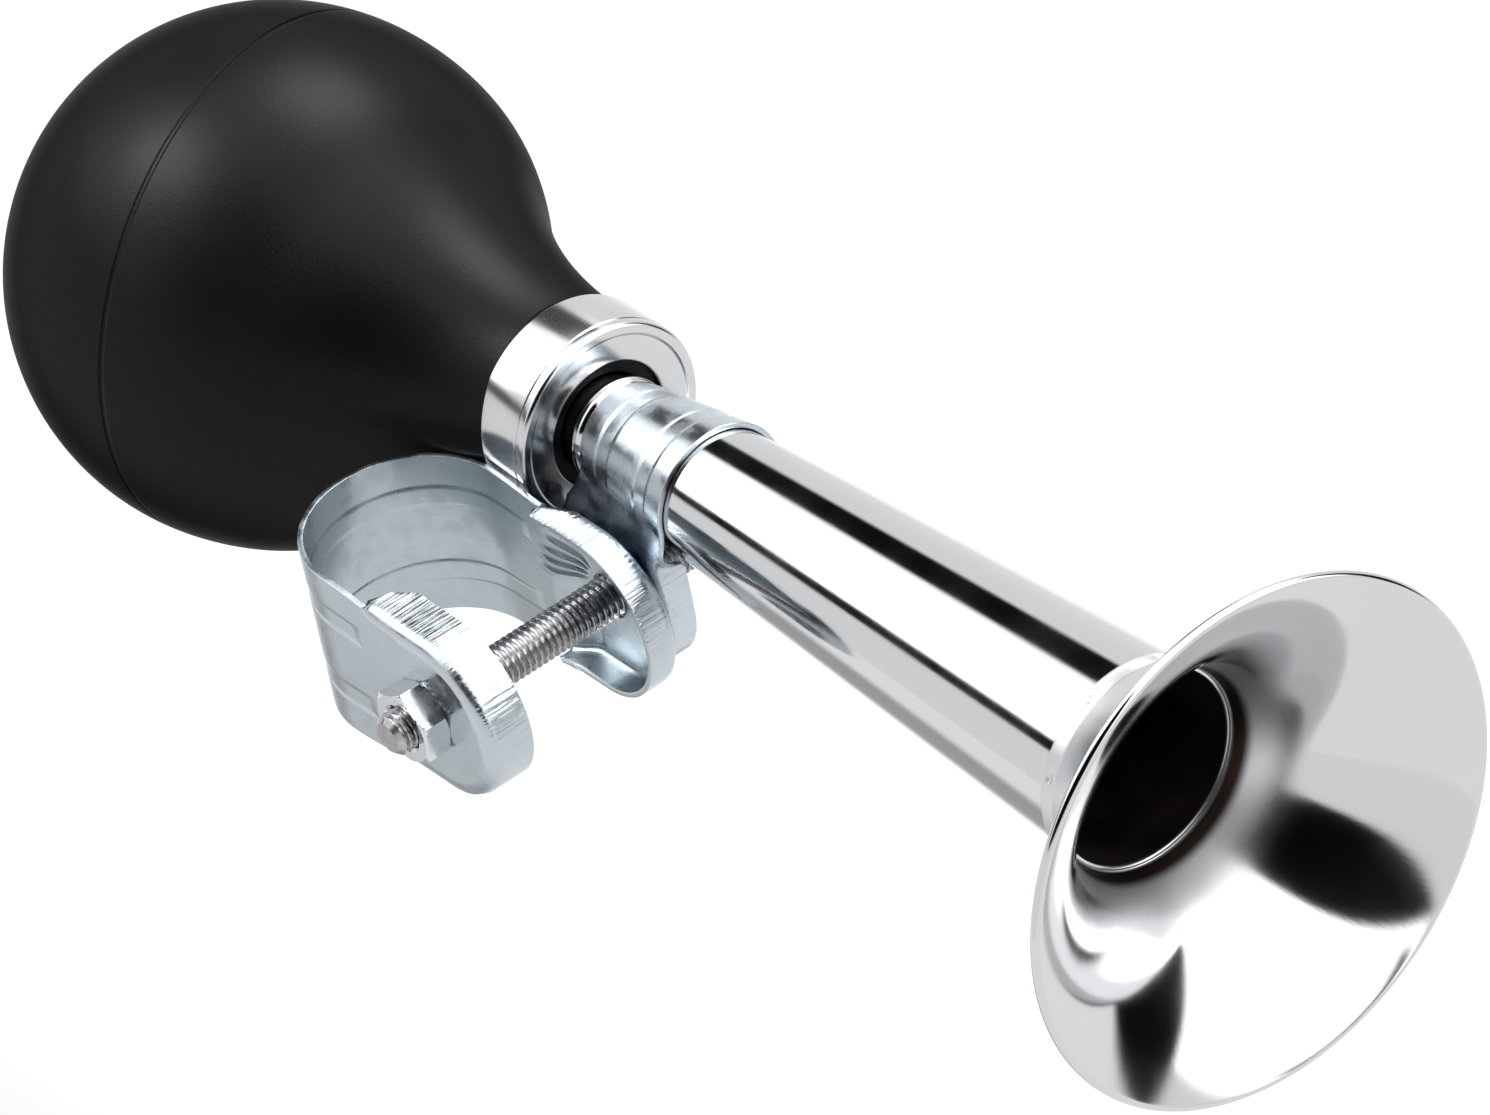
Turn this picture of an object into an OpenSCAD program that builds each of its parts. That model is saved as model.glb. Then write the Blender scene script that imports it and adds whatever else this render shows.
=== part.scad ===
// Bulb horn for a bicycle. A rubber bulb blows air through a reed into a chromed barrel and bell.
// Two strips of plated sheet, one round the barrel and one round the handlebar, share one bolt.
// The origin is the centre of the handlebar clamp's bore, +Z runs along that bore,
// +X points from the bulb to the bell and +Y points from the handlebar to the horn.

/* [Handlebar clamp] */
// Diameter of the handlebar that the clamp takes
bar_d = 22.2; // [21.8:0.1:22.6]
// Width of the handlebar clamp's strip
bar_strip_w = 20.6; // [19:0.1:21]
// Thickness of the sheet in both clamps
sheet_t = 0.6; // [0.5:0.05:0.7]
// Distance from the handlebar's axis to the bolt's axis
bolt_x = 15.3; // [15:0.1:16]
// Outer face of the ear next to the horn
far_ear_y = 13.7; // [13:0.1:14]
// Depth of the flange that is turned in round each ear of the handlebar clamp
bar_flange = 4.7; // [3.6:0.1:5]
// Distance from the bolt to the centre of each ear's round end
ear_reach = 1; // [0:0.1:1.5]

/* [Stem clamp] */
// Width of the strip round the barrel
stem_strip_w = 16; // [15:0.1:16.5]
// Half the width of its ears
stem_ear_r = 9.2; // [8.8:0.1:9.4]
// Depth of the flange that is turned in round each ear of the stem clamp
stem_flange = 3.8; // [3:0.1:4]
// Outer face of the tail under the bolt's head, from the horn's axis
head_tail_y = 9.2; // [9:0.1:9.6]
// Depth of the bolt's axis below the horn's axis
bolt_drop = 11.1; // [10.8:0.1:11.4]

/* [Bolt and nut] */
// Diameter of the bolt
bolt_d = 5; // [4.8:0.1:5]
// Length of the bolt under its head
bolt_len = 50; // [49:0.5:52]
// Diameter of the bolt holes in the ears
bolt_hole_d = 5.4; // [5.3:0.1:5.8]
// Width of the nut across its flats
nut_af = 8; // [8:0.1:8.5]
// Thickness of the nut
nut_t = 3.8; // [3.6:0.1:4.2]

/* [Bulb] */
// Diameter of the rubber ball
ball_d = 59; // [56:0.5:60]
// Wall of the ball
ball_wall = 2.6; // [2:0.1:4]
// Distance from the bend of the neck to the ball's centre
ball_reach = 44.1; // [43.5:0.1:46]
// How far the bulb leans towards the handlebar, in degrees
bulb_lean = 8.8; // [8:0.2:9.4]

/* [Collar] */
// Outer diameter of the chromed collar
collar_d = 23.6; // [23:0.1:23.8]
// Length of the collar
collar_len = 7.8; // [7.5:0.1:8.4]
// Diameter of the hole in its face
collar_hole_d = 14.6; // [14:0.1:15]

/* [Barrel and bell] */
// Outer diameter of the barrel where it enters the bulb
barrel_small_d = 11; // [10.8:0.1:11.1]
// Outer diameter of the barrel where it leaves the stem clamp
barrel_clamp_d = 15.3; // [15:0.1:15.5]
// Outer diameter of the barrel at the bell
barrel_mouth_d = 23; // [22.5:0.1:23.2]
// Distance from the collar's face to the barrel's mouth
barrel_len = 87.8; // [80:0.2:95]
// Wall of the barrel
tube_t = 0.5; // [0.4:0.05:0.6]
// Diameter of the bell at its rim
bell_d = 59.6; // [56:0.1:62]
// Length of the flare
flare_len = 17.9; // [16:0.1:20]

/* [Hidden] */
$fn = 96;
// Clearance between a bore and what turns in it
run_gap = 0.08;
// Gap between flat faces of pieces that turn on each other
face_gap = 0.03;
// Overreach of a cutting solid, and the size of one that cuts away a whole side
cut = 1;
big = 200;
// Thickness of the slabs between which a tail is drawn
slab = 0.01;

// The horn's axis runs along X through (horn_y, horn_z), and its stations start at the collar's face
bar_r = bar_d / 2;
loop_r = bar_r + sheet_t;
collar_side_gap = 0.3;
horn_y = loop_r + collar_d / 2 + collar_side_gap;
horn_z = bolt_drop;
bolt_station = 10.2;
face_x = bolt_x - bolt_station;

// Ears
ear_bend = 1.3;
bar_ear_r = bar_strip_w / 2;
bar_ear_neck = 2.8;
joggle_start = 8;
flange_taper = 1.4;
stem_ear_neck = 4.8;
stem_knee_z = -3;

// Stem clamp, which follows the barrel's taper
stem_x0 = 2.7;
stem_x1 = stem_x0 + stem_strip_w;
near_tail_y = -(horn_y - far_ear_y - face_gap);
near_ear_y = -loop_r;

// Bolt head and chamfers
head_d = 9.5;
head_h = 3.2;
head_taper = 0.7;
slot_w = 1.2;
slot_depth = 1.4;
bolt_chamfer = 0.6;
nut_bevel = 0.6;
nut_bevel_h = 0.35;

// Bulb
ball_r = ball_d / 2;
bend_x = -6;
neck_r = 11.3;
neck_fillet = 30;
neck_fillet_u = ball_reach - sqrt(pow(ball_r + neck_fillet, 2) - pow(neck_r + neck_fillet, 2));
neck_join_u = ball_reach - (ball_reach - neck_fillet_u) * ball_r / (ball_r + neck_fillet);
neck_join_r = (neck_r + neck_fillet) * ball_r / (ball_r + neck_fillet);
neck_wall = 3.3;
neck_bore_u = 9.5;
neck_bore_x = -18;
neck_front_x = -0.9;
neck_step = 3;

// Collar
collar_r = collar_d / 2;
collar_t = 0.7;
collar_lip = 1.5;

// Barrel
barrel_back_x = -14;
small_r = barrel_small_d / 2;
clamp_r = barrel_clamp_d / 2;
mouth_r = barrel_mouth_d / 2;
bead_r = 6.2;
bead_w = 2.1;
bead_x = 1.5;

// Bell: a sleeve on the barrel, then a flare of one arc up to the rolled rim
sleeve_len = 1.8;
sleeve_x = barrel_len - sleeve_len;
sleeve_t = 0.5;
flare_step = 0.6;
flare_x = barrel_len + flare_step;
flare_r = mouth_r + 0.1;
rim_bead_r = 0.6;
rim_r = bell_d / 2 - rim_bead_r;
flare_turn = 46;
bell_t = 0.6;
flare_chord = sqrt(pow(rim_r - flare_r, 2) + pow(flare_len, 2));
flare_arc_r = flare_chord / (2 * sin(flare_turn / 2));
flare_start = atan2(rim_r - flare_r, flare_len) - flare_turn / 2;
flare_centre = [flare_r + flare_arc_r * cos(flare_start), flare_x - flare_arc_r * sin(flare_start)];

// Reed
reed_head_r = small_r - tube_t;
reed_r = 4.4;
reed_bore_r = 3.2;
reed_front_x = -8;
reed_back_x = -33;
reed_end_t = 1.5;
reed_stop_w = 1;
reed_flat_z = 1.2;
reed_step_x = -18;
wedge_len = 3;
wedge_x = reed_step_x - wedge_len;
tongue_t = 0.25;
tongue_w = 6.8;
tongue_lift = 1.4;
tongue_gap = 0.1;
tongue_end_x = -32;

// Places its children on the horn's axis, with the collar's face at x = 0
module on_horn() {
    translate([face_x, horn_y, horn_z]) children();
}

// Turns a profile drawn in (radius, station) about the X axis
module lathe() {
    rotate([0, 90, 0]) rotate_extrude() children();
}

// Half of an ear's section: plate, bend and turned-in flange
module ear_section(r, flange) {
    square([r - ear_bend, sheet_t]);
    intersection() {
        translate([r - ear_bend, ear_bend]) difference() {
            circle(ear_bend);
            circle(ear_bend - sheet_t);
        }
        translate([r - ear_bend, 0]) square(ear_bend);
    }
    translate([r - sheet_t, ear_bend]) square([sheet_t, flange - ear_bend]);
}

// An ear round the bolt, with its outer face at z = 0 and its round end towards +X.
// The round end's centre lies a reach beyond the bolt.
module ear(r, flange, neck, reach) {
    difference() {
        union() {
            translate([reach, 0, 0]) rotate([0, 0, -90]) rotate_extrude(angle = 180) ear_section(r, flange);
            translate([-neck, 0, 0]) rotate([90, 0, 90]) linear_extrude(neck + reach) {
                ear_section(r, flange);
                mirror([1, 0]) ear_section(r, flange);
            }
        }
        translate([0, 0, -cut]) cylinder(h = sheet_t + 2 * cut, d = bolt_hole_d);
    }
}

// A web that brings the flange up from nothing, along the upper and the lower edge of a tail
module flange_web(tail_y, ear_y, free_y) {
    ear_x = bolt_x - bar_ear_neck;
    for (z = [-bar_ear_r, bar_ear_r - sheet_t])
        translate([0, 0, z]) linear_extrude(sheet_t)
            polygon([[joggle_start, tail_y], [ear_x, ear_y], [ear_x, free_y], [joggle_start + flange_taper, free_y]]);
}

module bar_clamp() {
    ear_x = bolt_x - bar_ear_neck;
    color("lightsteelblue") {
        // Loop and the two tails, drawn in plan: the far one steps out towards the horn
        translate([0, 0, -bar_ear_r]) linear_extrude(bar_strip_w) {
            difference() {
                circle(loop_r);
                circle(bar_r);
                translate([0, -big / 2]) square(big);
            }
            polygon([
                [0, loop_r], [joggle_start, loop_r], [ear_x, far_ear_y],
                [ear_x, far_ear_y - sheet_t], [joggle_start, bar_r], [0, bar_r]
            ]);
            translate([0, -loop_r]) square([ear_x, sheet_t]);
        }
        flange_web(bar_r, far_ear_y - sheet_t / 2, far_ear_y - bar_flange);
        flange_web(-bar_r, near_ear_y + sheet_t / 2, near_ear_y + bar_flange);
        translate([bolt_x, far_ear_y, 0]) rotate([90, 0, 0])
            ear(bar_ear_r, bar_flange, bar_ear_neck, ear_reach);
        translate([bolt_x, near_ear_y, 0]) rotate([-90, 0, 0])
            ear(bar_ear_r, bar_flange, bar_ear_neck, ear_reach);
    }
}

// Radius of the stem clamp's bore at a station
function stem_bore_r(x) = small_r + run_gap + (clamp_r - small_r) * (x - stem_x0) / (stem_x1 - stem_x0);

// A thin level slab of sheet that runs along the horn between stations x0 and x1
module rail(x0, y0, x1, y1, z) {
    translate([0, 0, z]) linear_extrude(slab)
        polygon([[x0, y0], [x1, y1], [x1, y1 + sheet_t], [x0, y0 + sheet_t]]);
}

// A tail from the clamp's round to its ear, for the side at negative Y
module stem_tail(tail_y) {
    knee_y = (2 * stem_bore_r(stem_x0) + 2 * sheet_t - tail_y) / 3;
    knee_y1 = (2 * stem_bore_r(stem_x1) + 2 * sheet_t - tail_y) / 3;
    ear_top_z = stem_ear_neck - bolt_drop;
    hull() {
        rail(stem_x0, -stem_bore_r(stem_x0) - sheet_t, stem_x1, -stem_bore_r(stem_x1) - sheet_t, -slab);
        rail(stem_x0, -knee_y, stem_x1, -knee_y1, stem_knee_z);
    }
    hull() {
        rail(stem_x0, -knee_y, stem_x1, -knee_y1, stem_knee_z);
        rail(bolt_station - stem_ear_r, tail_y, bolt_station + stem_ear_r, tail_y, ear_top_z);
    }
    translate([bolt_station, tail_y, -bolt_drop]) rotate([0, 90, 90])
        ear(stem_ear_r, stem_flange, stem_ear_neck, 0);
}

module stem_clamp() {
    color("lightsteelblue") on_horn() {
        intersection() {
            lathe() polygon([
                [stem_bore_r(stem_x0), stem_x0],
                [stem_bore_r(stem_x0) + sheet_t, stem_x0],
                [stem_bore_r(stem_x1) + sheet_t, stem_x1],
                [stem_bore_r(stem_x1), stem_x1]
            ]);
            translate([0, -big / 2, 0]) cube(big);
        }
        stem_tail(near_tail_y);
        mirror([0, 1, 0]) stem_tail(-head_tail_y);
    }
}

module clamp_bolt() {
    color("dimgray") on_horn() translate([bolt_station, head_tail_y + face_gap, -bolt_drop])
        rotate([90, 0, 0]) difference() {
            union() {
                cylinder(h = bolt_len - bolt_chamfer, d = bolt_d);
                translate([0, 0, bolt_len - bolt_chamfer])
                    cylinder(h = bolt_chamfer, d1 = bolt_d, d2 = bolt_d - 2 * bolt_chamfer);
                translate([0, 0, -head_h]) cylinder(h = head_h, d1 = head_d * head_taper, d2 = head_d);
            }
            translate([-slot_w / 2, -head_d, -head_h - cut]) cube([slot_w, 2 * head_d, slot_depth + cut]);
        }
}

module clamp_nut() {
    corner_r = nut_af / sqrt(3);
    color("silver") translate([bolt_x, near_ear_y - face_gap, 0]) rotate([90, 0, 0]) difference() {
        intersection() {
            cylinder(h = nut_t, r = corner_r, $fn = 6);
            rotate_extrude() polygon([
                [0, 0], [corner_r - nut_bevel, 0], [corner_r, nut_bevel_h],
                [corner_r, nut_t - nut_bevel_h], [corner_r - nut_bevel, nut_t], [0, nut_t]
            ]);
        }
        translate([0, 0, -cut]) cylinder(h = nut_t + 2 * cut, d = bolt_d + 2 * run_gap);
    }
}

// Outline of the bulb about its own axis: a ball, and a neck that flows into it from a depth u.
// The inside is the same outline, drawn in by the wall's thickness.
module bulb_outline(u, ball_inset = 0, neck_inset = 0) {
    translate([0, -ball_reach]) intersection() {
        circle(ball_r - ball_inset);
        translate([0, -ball_r]) square([ball_r, 2 * ball_r]);
    }
    difference() {
        polygon([
            [0, -u], [neck_r - neck_inset, -u], [neck_r, -u - neck_step],
            [neck_join_r, -neck_join_u], [0, -ball_reach]
        ]);
        translate([neck_r + neck_fillet, -neck_fillet_u]) circle(neck_fillet + neck_inset);
    }
}

// Places its children on the bulb's own axis, which leans from the bend of the neck
module on_lean() {
    translate([bend_x, 0, 0]) rotate([0, 0, bulb_lean]) lathe() children();
}

module bulb() {
    color([0.08, 0.08, 0.08]) on_horn() difference() {
        union() {
            intersection() {
                on_lean() bulb_outline(0);
                translate([-big - collar_len - face_gap, -big / 2, -big / 2]) cube(big);
            }
            lathe() translate([0, -collar_len - face_gap])
                rounded_end(collar_r - collar_t - run_gap, collar_len + face_gap + neck_front_x, collar_lip);
        }
        on_lean() bulb_outline(neck_bore_u, ball_wall, neck_wall);
        translate([neck_bore_x, 0, 0]) rotate([0, 90, 0]) cylinder(h = big, r = small_r + run_gap);
    }
}

// A rectangle from the axis with one rounded outer corner at the top
module rounded_end(r, len, corner) {
    square([r, len - corner]);
    square([r - corner, len]);
    translate([r - corner, len - corner]) circle(corner);
}

module bulb_collar() {
    color("gainsboro") on_horn() lathe() translate([0, -collar_len]) difference() {
        rounded_end(collar_r, collar_len, collar_lip);
        translate([0, -cut]) rounded_end(collar_r - collar_t, collar_len - collar_t + cut, collar_lip - collar_t);
        square([collar_hole_d / 2, 2 * collar_len]);
    }
}

// Outer radius of the barrel at a station in front of the stem clamp
function barrel_r(x) = clamp_r + (mouth_r - clamp_r) * (x - stem_x1) / (barrel_len - stem_x1);

module barrel() {
    color("gainsboro") on_horn() lathe() {
        polygon([
            [small_r - tube_t, barrel_back_x], [small_r, barrel_back_x],
            [small_r, stem_x0], [clamp_r, stem_x1], [mouth_r, barrel_len],
            [mouth_r - tube_t, barrel_len], [clamp_r - tube_t, stem_x1], [small_r - tube_t, stem_x0]
        ]);
        intersection() {
            translate([bead_r - bead_w / 2, bead_x]) circle(bead_w / 2);
            translate([small_r - tube_t / 2, bead_x - bead_w]) square(2 * bead_w);
        }
    }
}

module bell() {
    span = 2 * flare_arc_r;
    flare_end = flare_start + flare_turn;
    sleeve_r = mouth_r + sleeve_t;
    color("gainsboro") on_horn() lathe() {
        polygon([
            [barrel_r(sleeve_x), sleeve_x], [sleeve_r, sleeve_x], [sleeve_r, flare_x],
            [mouth_r, flare_x], [mouth_r, barrel_len]
        ]);
        intersection() {
            translate(flare_centre) difference() {
                circle(flare_arc_r, $fn = 360);
                circle(flare_arc_r - bell_t, $fn = 360);
            }
            polygon([
                flare_centre,
                flare_centre + span * [-cos(flare_start), sin(flare_start)],
                flare_centre + span * [-cos(flare_end), sin(flare_end)]
            ]);
        }
        translate([rim_r, flare_x + flare_len]) circle(rim_bead_r);
    }
}

module reed_body() {
    color("darkgoldenrod") on_horn() difference() {
        lathe() {
            translate([0, barrel_back_x]) square([reed_head_r, reed_front_x - barrel_back_x]);
            translate([0, barrel_back_x - reed_stop_w]) square([small_r, reed_stop_w]);
            translate([0, reed_back_x]) square([reed_r, barrel_back_x - reed_back_x]);
        }
        translate([reed_back_x + reed_end_t, 0, 0]) rotate([0, 90, 0]) cylinder(h = big, r = reed_bore_r);
        translate([reed_back_x - cut, -big / 2, reed_flat_z])
            cube([reed_step_x - reed_back_x + cut, big, big]);
    }
}

module reed_tongue() {
    root_z = reed_flat_z + tongue_gap;
    tip_z = root_z + (wedge_x - tongue_end_x) * tan(tongue_lift);
    color("goldenrod") on_horn() rotate([90, 0, 0]) linear_extrude(tongue_w, center = true) polygon([
        [reed_step_x - tongue_gap, root_z], [wedge_x, root_z], [tongue_end_x, tip_z],
        [tongue_end_x, tip_z + tongue_t], [wedge_x, root_z + tongue_t],
        [reed_step_x - tongue_gap, root_z + tongue_t]
    ]);
}

module reed_wedge() {
    color("goldenrod") on_horn() intersection() {
        translate([wedge_x, 0, 0]) rotate([0, 90, 0]) cylinder(h = wedge_len, r = reed_r);
        translate([-big / 2, -big / 2, reed_flat_z + 2 * tongue_gap + tongue_t]) cube(big);
    }
}

bulb();
bulb_collar();
barrel();
bell();
reed_body();
reed_tongue();
reed_wedge();
stem_clamp();
bar_clamp();
clamp_bolt();
clamp_nut();
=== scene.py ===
import math

import bmesh
import bpy
import numpy as np
from mathutils import Matrix, Vector


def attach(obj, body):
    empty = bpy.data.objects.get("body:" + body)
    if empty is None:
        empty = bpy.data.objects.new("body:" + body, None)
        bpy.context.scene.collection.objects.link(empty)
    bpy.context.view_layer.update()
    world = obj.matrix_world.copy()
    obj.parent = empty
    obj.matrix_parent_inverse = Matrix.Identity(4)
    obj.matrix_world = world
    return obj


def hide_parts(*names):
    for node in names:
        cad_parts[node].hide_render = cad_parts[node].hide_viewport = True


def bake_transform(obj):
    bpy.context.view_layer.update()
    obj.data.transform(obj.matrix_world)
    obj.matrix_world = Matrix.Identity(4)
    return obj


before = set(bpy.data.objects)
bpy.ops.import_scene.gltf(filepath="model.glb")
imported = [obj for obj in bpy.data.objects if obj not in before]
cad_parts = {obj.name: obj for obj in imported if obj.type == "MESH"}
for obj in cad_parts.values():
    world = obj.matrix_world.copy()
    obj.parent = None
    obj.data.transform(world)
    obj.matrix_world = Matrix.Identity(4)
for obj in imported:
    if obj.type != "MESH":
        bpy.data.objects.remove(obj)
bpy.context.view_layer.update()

MM = 0.001

# Camera, fitted to the photograph
CAMERA_PLACE = (1084.04, -625.25, 962.80)
CAMERA_RIGHT = (0.620515, 0.766449, -0.165882)
CAMERA_UP = (-0.399913, 0.491239, 0.773792)
CAMERA_BACK = (0.67456, -0.413811, 0.611334)
SENSOR = 36.0
LENS = 15000 / 1490 * SENSOR

# Sizes of the model, in millimetres. Some differ a little from the part's source, to meet the photograph.

# Strap round the handlebar. A flange is where it starts along the tail, and its depth
BAR_R = 11.1
SHEET = 0.6
STRIP_W = 20.6
BOLT_X = 15.3
NEAR_EAR_Y = -11.7
FAR_EAR_Y = 13.7
NEAR_FLANGE, FAR_FLANGE = (7.2, 5.5), (8.5, 4.0)
FLANGE_STEP, FLANGE_RUN = 0.3, 2.4
FOLD_LEAD, FOLD_RUN = 0.1, 0.5
EAR_REACH = 1.2
EAR_START = 12.5
BAR_EAR_HALF = 9.5
JOGGLE_X, JOGGLE_LEAD = 8.0, 0.4
HOLE_R = 2.7
BEND_R = 1.0

# Pressed ribs of both straps, and the small folds round the far ear's bolt hole, in millimetres and degrees
RIB_PLACE, RIB_HALF, RIB_EDGE, RIB_RISE = 0.486, 1.2, 0.4, 0.12
RIB_END, RIB_FADE = 5.5, 1.5
CREASE, CREASE_TURN, CREASE_SPAN, CREASE_FADE = 0.13, 10.5, 50.0, 8.0
CREASE_FROM, CREASE_GROW = 3.0, 1.5
CREASE_TO, CREASE_SHRINK = 9.8, 2.5

# Place where the horn's axis goes through the collar's face
HORN_X, HORN_Y, HORN_Z = 5.1, 23.8, 11.1

# Strap round the barrel
BOLT_STATION = 10.2
STEM_X0, STEM_X1 = 2.7, 18.7
STEM_EAR_R = 8.7
STEM_FLANGE = 3.8
STEM_EAR_NECK = 4.8
STEM_FOLD_FROM, STEM_FOLD_RUN = 2.6, 2.0
STEM_FLANGE_FROM, STEM_FLANGE_RUN = 3.0, 2.6
NEAR_TAIL_Y = -10.07
HEAD_TAIL_Y = 9.2
RUN_GAP = 0.08
# Box where the stem strap's near tail gets a painted shade, where it faces the other strap
PAINTED_SHADE_X, PAINTED_SHADE_Y, PAINTED_SHADE_Z = (21.5, 23.5), (18.0, 20.0), (8.8, 12.0)

# Bolt and nut. Crest and flank shape the thread's wave
BOLT_R = 2.42
BOLT_ROOT_R = 1.93
PITCH = 0.8
THREAD_STEPS, THREAD_ROWS = 60, 12
CREST, FLANK = 1.3, 3.0
BOLT_LEN, BOLT_CHAMFER = 50.0, 0.65
BOLT_HEAD_D, BOLT_HEAD_H, BOLT_HEAD_TOP = 9.5, 3.2, 0.35
SLOT_W, SLOT_DEPTH = 1.2, 1.4
SEAT_GAP = 0.03
SEAT_Y = HORN_Y + HEAD_TAIL_Y + SEAT_GAP
NUT_AF, NUT_T, NUT_TURN = 8.0, 3.3, 8.0
NUT_BEVEL, NUT_BEVEL_H = 0.6, 0.35
NUT_GAP, NUT_STEPS = 0.12, 240

# Bulb. The neck swells a little, and the bulb's own axis leans away from the horn's axis at a bend along it
BALL_R = 29.49
BALL_REACH = 44.1
NECK_R = 10.78
NECK_FILLET = 46.0
NECK_ROWS, BALL_ROWS, BULB_STEPS = 30, 90, 160
SWELL, SWELL_U, SWELL_WIDE = 0.45, 28.0, 8.0
BEND_X = -6.0
LEAN = math.radians(8.8)
NECK_BORE_R = 5.58
NECK_FRONT_X = -0.9
SEAM_NORMAL = (0.971, 0.236, -0.040)

# Collar and barrel
COLLAR_R, COLLAR_LEN, COLLAR_T = 11.8, 7.8, 0.7
COLLAR_HOLE_R = 7.3
SMALL_R, CLAMP_R, MOUTH_R = 5.5, 7.65, 11.5
BARREL_BACK_X, BARREL_LEN, TUBE = -14.0, 87.8, 0.5
BEAD_R, BEAD_W, BEAD_X = 6.2, 2.1, 1.5
THROAT_EDGE = 0.12

# Bell. The punched marks hold its sleeve, and the throat is duller and has a dark ring between two radii
SLEEVE_LEN, SLEEVE_T = 1.8, 0.5
FLARE_X, FLARE_R = 88.4, 11.6
FLARE_TURN = 46.0
BELL_T = 0.6
RIM_BEAD_R, RIM_TURN = 0.55, 245
RIM_X, RIM_R = 106.35, 29.8 - RIM_BEAD_R
THROAT_DULL = (12.4, 16.4)
# Radii between which a dark brown ring is painted on the throat's chrome
THROAT_DARK_RING = (11.95, 12.5)
STAKES, STAKE_TURN, STAKE_X, STAKE_DEPTH = 8, 20.0, 0.9, 0.30
SLEEVE_WAVE, SLEEVE_WAVES = 0.02, 11

# Colours
CHROME_PLATE = (0.60, 0.605, 0.615)
THROAT_RING = (0.035, 0.024, 0.020)
STEM_ZINC = (0.49, 0.545, 0.585)
# Painted shade on the stem strap's near tail, where it faces the other strap
STEM_PAINTED_SHADE = (0.085, 0.10, 0.125)
BAR_ZINC = (0.47, 0.52, 0.555)
# Darker copy of the bar strap's zinc for the inside of its loop: painted shade
SHADED_INNER_ZINC = (0.40, 0.45, 0.48)
NUT_ZINC = (0.62, 0.64, 0.66)
SEAM_SHADE = (0.0006, 0.0006, 0.0006)

# Studio: brightness of the walls, the roof and the dark areas, and the floor with its painted shade,
# which is a place, two half widths and a depth
WALL_LEVEL = 1.0
ROOF_LEVEL = 1.7
ROOF_FROM, ROOF_TO = 0.38, 0.52
DARK = 0.003
FLOOR_Z, FLOOR_SIZE = -0.30, 0.9
SHADE_X, SHADE_Y, SHADE_WIDE, SHADE_DEEP, SHADE_DEPTH = -0.26, -0.07, 0.36, 0.20, 0.62


def horn_point(x, y, z):
    """A point given from the collar's face on the horn's axis, in the part's frame."""
    return (HORN_X + x, HORN_Y + y, HORN_Z + z)


def smooth(t):
    """Eases from 0 to 1."""
    t = np.clip(t, 0, 1)
    return t * t * (3 - 2 * t)


# Mesh building

def new_object(name, points, faces, sharp=35):
    """An object from points in millimetres, shaded smooth with sharp edges above an angle."""
    mesh = bpy.data.meshes.new(name)
    mesh.from_pydata([tuple(c * MM for c in p) for p in points], [], faces)
    bm = bmesh.new()
    bm.from_mesh(mesh)
    bmesh.ops.remove_doubles(bm, verts=bm.verts, dist=0.004 * MM)
    bmesh.ops.dissolve_degenerate(bm, edges=bm.edges, dist=0.0005 * MM)
    bmesh.ops.recalc_face_normals(bm, faces=bm.faces)
    bm.to_mesh(mesh)
    bm.free()
    for poly in mesh.polygons:
        poly.use_smooth = True
    mesh.set_sharp_from_angle(angle=math.radians(sharp))
    obj = bpy.data.objects.new(name, mesh)
    bpy.context.scene.collection.objects.link(obj)
    return obj


def grid_faces(rows, cols, start=0, wrap_rows=False, wrap_cols=False):
    """Quads of a grid of points stored row by row."""
    faces = []
    for i in range(rows if wrap_rows else rows - 1):
        for j in range(cols if wrap_cols else cols - 1):
            a, b = i % rows, (i + 1) % rows
            c, d = j % cols, (j + 1) % cols
            near, far = start + a * cols, start + b * cols
            faces.append((near + c, near + d, far + d, far + c))
    return faces


def rounded(corners, steps=5):
    """A closed outline of (x, r, fillet) corners with the fillets drawn as arcs."""
    out = []
    n = len(corners)
    for i, (x, r, fillet) in enumerate(corners):
        p = np.array([x, r], float)
        if not fillet:
            out.append(tuple(p))
            continue
        a = np.array(corners[i - 1][:2], float) - p
        b = np.array(corners[(i + 1) % n][:2], float) - p
        a /= np.linalg.norm(a)
        b /= np.linalg.norm(b)
        half = math.acos(np.clip(a @ b, -1, 1)) / 2
        back = fillet / math.tan(half)
        centre = p + (a + b) / np.linalg.norm(a + b) * fillet / math.sin(half)
        start = p + a * back - centre
        end = p + b * back - centre
        turn = math.pi - 2 * half
        for k in range(steps + 1):
            t = k / steps
            w0 = math.sin((1 - t) * turn) / math.sin(turn)
            w1 = math.sin(t * turn) / math.sin(turn)
            out.append(tuple(centre + start * w0 + end * w1))
    return out


def turned_points(outline, segments, place, bump=None):
    """The points of an (x, r) outline turned about an axis; place puts (x, y, z) in the part's frame."""
    points = []
    for k in range(segments):
        a = 2 * math.pi * k / segments
        for x, r in outline:
            rr = r + (bump(x, r, a) if bump else 0)
            points.append(place(x, rr * math.cos(a), rr * math.sin(a)))
    return points


def turned(name, outline, segments, place=horn_point, bump=None, sharp=35):
    """A turned piece from a closed (x, r) outline."""
    points = turned_points(outline, segments, place, bump)
    faces = grid_faces(segments, len(outline), wrap_rows=True, wrap_cols=True)
    return new_object(name, points, faces, sharp)


# Pressed sheet

def band(base, out, down, turn, depth, count=9):
    """Section of a sheet's edge from the start of its bend: flat at turn 0, a turned-in flange at turn 1."""
    arc = BEND_R * math.pi / 2
    length = BEND_R + turn * (arc + depth - 2 * BEND_R)
    angle = turn * math.pi / 2
    points = []
    for k in range(count + 1):
        t = k / count
        run = length * (t ** 0.9)
        if angle < 1e-4:
            u, w = run, 0
        else:
            radius = arc / angle
            bent = min(run, arc)
            u = radius * math.sin(bent / radius) + max(run - arc, 0) * math.cos(angle)
            w = radius * (1 - math.cos(bent / radius)) + max(run - arc, 0) * math.sin(angle)
        points.append(base + out * u + down * w)
    return points


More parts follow.
